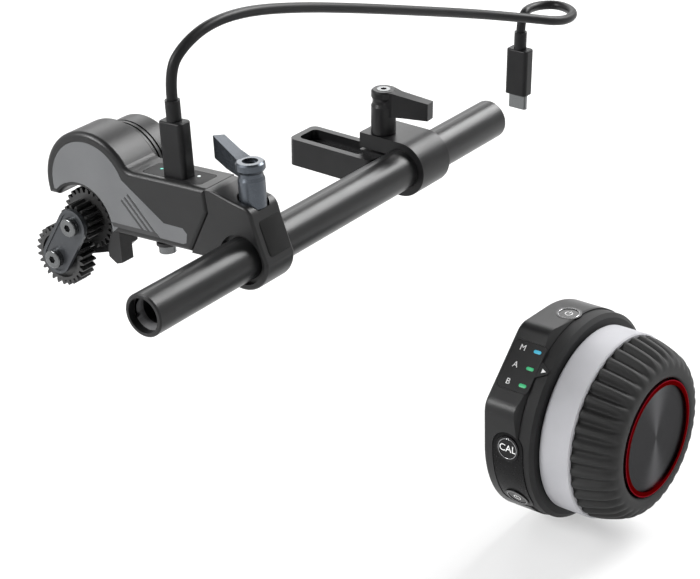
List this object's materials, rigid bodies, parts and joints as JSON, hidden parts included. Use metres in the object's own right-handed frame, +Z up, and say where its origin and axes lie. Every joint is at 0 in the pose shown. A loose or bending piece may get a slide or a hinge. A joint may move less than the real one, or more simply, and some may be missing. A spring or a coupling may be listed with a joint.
{
  "type": "wireless follow focus kit",
  "caption": "Geared lens motor clamped on a hollow rod with a slotted rod bracket, a power and data lead with two plugs, and a separate hand unit with a turning wheel.",
  "frame": {"origin": "middle of the bracket arm's slot at the arm's underside", "axes": "+X from the slot towards the rod and along the hand wheel's axis to its face, +Y along the rod from its front end to its rear end, +Z up, away from the arm's underside"},
  "size_m": [0.1937, 0.2832, 0.2017],
  "materials": {
    "satin_black": "satin",
    "rod_black": "satin",
    "black_plastic": "matte",
    "grey_inlay": "matte",
    "grey_anodised": "satin",
    "plate_grey": "satin",
    "screw_steel": "satin",
    "gear_black": "matte",
    "gloss_black": "gloss",
    "steel": "satin",
    "cable_black": "matte",
    "ring_silver": "satin",
    "grip_rubber": "matte",
    "red_ring": "gloss",
    "dark_disc": "brushed",
    "board_green": "matte",
    "cell_grey": "matte",
    "brass": "satin",
    "chrome_rim": "polished"
  },
  "bodies": {
    "bracket": {"slotted_arm": "satin_black", "arm_screw": "screw_steel", "hand_body": "black_plastic", "back_plate": "black_plastic", "back_screws": "screw_steel", "tripod_insert": "brass", "battery": "cell_grey", "hand_board": "board_green", "light_panel": "gloss_black", "button_panel": "gloss_black", "button_rims": "chrome_rim", "wheel_bearing": "steel", "wheel_spacer": "steel"},
    "rod": {"rod": "rod_black"},
    "motor": {"motor_housing": "black_plastic", "inlay_panel": "grey_inlay", "motor_can": "satin_black", "motor_core": "steel", "link_plate": "plate_grey", "link_screws": "screw_steel", "drive_pin": "steel", "idler_pin": "steel", "rear_arm": "black_plastic", "stop_block": "black_plastic", "under_screw": "screw_steel", "under_washer": "black_plastic", "top_panel": "gloss_black", "socket": "steel", "control_board": "board_green", "rod_clamp": "satin_black", "rod_shoe": "brass", "cable": "cable_black", "plug_body": "black_plastic", "plug_tip": "steel", "far_plug_body": "black_plastic", "far_plug_tip": "steel"},
    "drive_gear": {"drive_gear": "gear_black"},
    "idler_gear": {"idler_gear": "gear_black"},
    "motor_pinion": {"motor_pinion": "steel"},
    "clamp_lever": {"clamp_lever": "grey_anodised"},
    "arm_lever": {"arm_lever": "satin_black"},
    "wheel": {"wheel_hub": "satin_black", "marking_ring": "ring_silver", "wheel_grip": "grip_rubber", "red_ring": "red_ring", "wheel_disc": "dark_disc"},
    "top_button": {"top_button": "gloss_black"},
    "middle_button": {"middle_button": "gloss_black"},
    "lower_button": {"lower_button": "gloss_black"}
  },
  "joints": [
    {"name": "rod_slide", "type": "slide", "parent": "bracket", "child": "rod", "axis": [0, 1, 0], "range_m": [-0.04, 0.052]},
    {"name": "motor_swing", "type": "hinge", "parent": "rod", "child": "motor", "pos_m": [0.0306, -0.0883, 0.0083], "axis": [0, 1, 0], "range_deg": [-12, 30]},
    {"name": "drive_spin", "type": "hinge", "parent": "motor", "child": "drive_gear", "pos_m": [-0.04109, -0.0928, 0.00279], "axis": [0, 1, 0], "continuous": true},
    {"name": "idler_spin", "type": "hinge", "parent": "motor", "child": "idler_gear", "pos_m": [-0.04957, -0.0958, -0.01172], "axis": [0, 1, 0], "continuous": true},
    {"name": "motor_spin", "type": "hinge", "parent": "motor", "child": "motor_pinion", "pos_m": [-0.03588, -0.0848, 0.01791], "axis": [0, 1, 0], "continuous": true},
    {"name": "clamp_lever_turn", "type": "hinge", "parent": "motor", "child": "clamp_lever", "pos_m": [0.0303, -0.0883, 0.02833], "axis": [-0.0698, 0, 0.9976], "range_deg": [-60, 30]},
    {"name": "arm_lever_turn", "type": "hinge", "parent": "bracket", "child": "arm_lever", "pos_m": [0.0194, 0.0018, 0.0233], "axis": [0, 0, 1], "range_deg": [-60, 120]},
    {"name": "wheel_turn", "type": "hinge", "parent": "bracket", "child": "wheel", "pos_m": [0.1129, 0.01925, -0.08146], "axis": [0.9983, -0.0436, 0.0391], "continuous": true},
    {"name": "top_button_press", "type": "slide", "parent": "bracket", "child": "top_button", "axis": [0.039, -0.0017, -0.9992], "range_m": [0, 0.0008], "stiffness_N_per_m": 800, "springref_m": -0.0008},
    {"name": "middle_button_press", "type": "slide", "parent": "bracket", "child": "middle_button", "axis": [0.0452, 0.9981, -0.0418], "range_m": [0, 0.0008], "stiffness_N_per_m": 800, "springref_m": -0.0008},
    {"name": "lower_button_press", "type": "slide", "parent": "bracket", "child": "lower_button", "axis": [0.015, 0.8359, 0.5486], "range_m": [0, 0.0008], "stiffness_N_per_m": 800, "springref_m": -0.0008}
  ],
  "couplings": [
    {"joint": "idler_spin", "follows": "drive_spin", "ratio": -0.61538},
    {"joint": "motor_spin", "follows": "drive_spin", "ratio": -1.8571}
  ]
}
